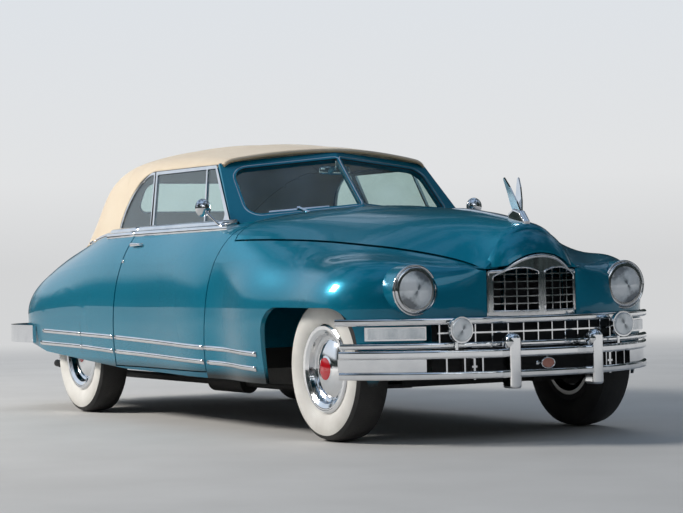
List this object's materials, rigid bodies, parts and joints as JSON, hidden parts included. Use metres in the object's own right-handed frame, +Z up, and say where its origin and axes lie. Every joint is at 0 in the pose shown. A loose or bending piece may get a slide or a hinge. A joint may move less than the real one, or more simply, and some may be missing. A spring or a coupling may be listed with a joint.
{
  "type": "two-door convertible car",
  "caption": "Full-size two-door convertible with raised fabric top, opening doors, hood and trunk, steered front wheels.",
  "frame": {"origin": "midway between the two bumpers' faces, on the ground under the car's middle", "axes": "+X forward, +Y to the car's left, +Z up"},
  "size_m": [5.417, 1.9742, 1.6736],
  "materials": {
    "paint": "deep metallic teal, clear gloss",
    "underbody": "black, satin",
    "chrome": "polished",
    "canvas": "woven tan canvas",
    "glass": "clear, slightly green",
    "lens": "fluted clear",
    "red_lens": "red",
    "leather": "tan, satin",
    "cabin": "satin brown",
    "iron": "painted dark",
    "tyre": "black with a white sidewall",
    "carpet": "pile"
  },
  "bodies": {
    "chassis": {"chassis_frame": "underbody", "floor_pan": "carpet", "engine_block": "iron", "exhaust": "underbody", "fuel_tank": "underbody", "rear_axle": "underbody", "fender_right": "paint", "fender_left": "paint", "cowl": "paint", "windshield_glass": "glass", "rear_body": "paint", "soft_top": "canvas", "rear_glass": "glass", "quarter_frames": "chrome", "grille": "chrome", "lower_grille": "chrome", "front_lamps": "chrome", "lamp_lenses": "lens", "front_bumper": "chrome", "rear_bumper": "chrome", "tail_lamps": "red_lens", "front_seat": "leather", "rear_seat": "leather", "dashboard": "cabin", "wipers": "chrome"},
    "door_right": {"door_right": "paint", "door_right_trim": "chrome", "door_right_glass": "glass"},
    "steering_right": {"knuckle_right": "underbody"},
    "front_wheel_right": {"tyre_front_right": "tyre", "wheel_front_right": "chrome"},
    "rear_wheel_right": {"tyre_rear_right": "tyre", "wheel_rear_right": "chrome"},
    "door_left": {"door_left": "paint", "door_left_trim": "chrome", "door_left_glass": "glass"},
    "steering_left": {"knuckle_left": "underbody"},
    "front_wheel_left": {"tyre_front_left": "tyre", "wheel_front_left": "chrome"},
    "rear_wheel_left": {"tyre_rear_left": "tyre", "wheel_rear_left": "chrome"},
    "hood": {"hood": "paint", "hood_ornament": "chrome"},
    "trunk_lid": {"trunk_lid": "paint"},
    "steering_wheel": {"steering_wheel": "cabin"}
  },
  "joints": [
    {"name": "steer_right", "type": "hinge", "parent": "chassis", "child": "steering_right", "pos_m": [1.8085, -0.676, 0.378], "axis": [0, 0, 1], "range_deg": [-30, 30]},
    {"name": "steer_left", "type": "hinge", "parent": "chassis", "child": "steering_left", "pos_m": [1.8085, 0.676, 0.378], "axis": [0, 0, 1], "range_deg": [-30, 30]},
    {"name": "steering_wheel_turn", "type": "hinge", "parent": "chassis", "child": "steering_wheel", "pos_m": [0.3, 0.4, 0.985], "axis": [-0.866, 0, 0.5], "range_deg": [-540, 540]},
    {"name": "front_spin_right", "type": "hinge", "parent": "steering_right", "child": "front_wheel_right", "pos_m": [1.8085, -0.7605, 0.378], "axis": [0, 1, 0], "continuous": true},
    {"name": "rear_spin_right", "type": "hinge", "parent": "chassis", "child": "rear_wheel_right", "pos_m": [-1.4175, -0.7685, 0.378], "axis": [0, 1, 0], "continuous": true},
    {"name": "door_right_hinge", "type": "hinge", "parent": "chassis", "child": "door_right", "pos_m": [0.7385, -0.984, 0.74], "axis": [0, 0, 1], "range_deg": [0, 65]},
    {"name": "front_spin_left", "type": "hinge", "parent": "steering_left", "child": "front_wheel_left", "pos_m": [1.8085, 0.7605, 0.378], "axis": [0, 1, 0], "continuous": true},
    {"name": "rear_spin_left", "type": "hinge", "parent": "chassis", "child": "rear_wheel_left", "pos_m": [-1.4175, 0.7685, 0.378], "axis": [0, 1, 0], "continuous": true},
    {"name": "door_left_hinge", "type": "hinge", "parent": "chassis", "child": "door_left", "pos_m": [0.7385, 0.984, 0.74], "axis": [0, 0, -1], "range_deg": [0, 65]},
    {"name": "hood_hinge", "type": "hinge", "parent": "chassis", "child": "hood", "pos_m": [0.882, 0, 1.242], "axis": [0, -1, 0], "range_deg": [0, 45]},
    {"name": "trunk_hinge", "type": "hinge", "parent": "chassis", "child": "trunk_lid", "pos_m": [-1.721, 0, 1.1], "axis": [0, 1, 0], "range_deg": [0, 60]}
  ],
  "couplings": [
    {"joint": "steer_left", "follows": "steer_right", "ratio": 1},
    {"joint": "steering_wheel_turn", "follows": "steer_right", "ratio": 18}
  ]
}
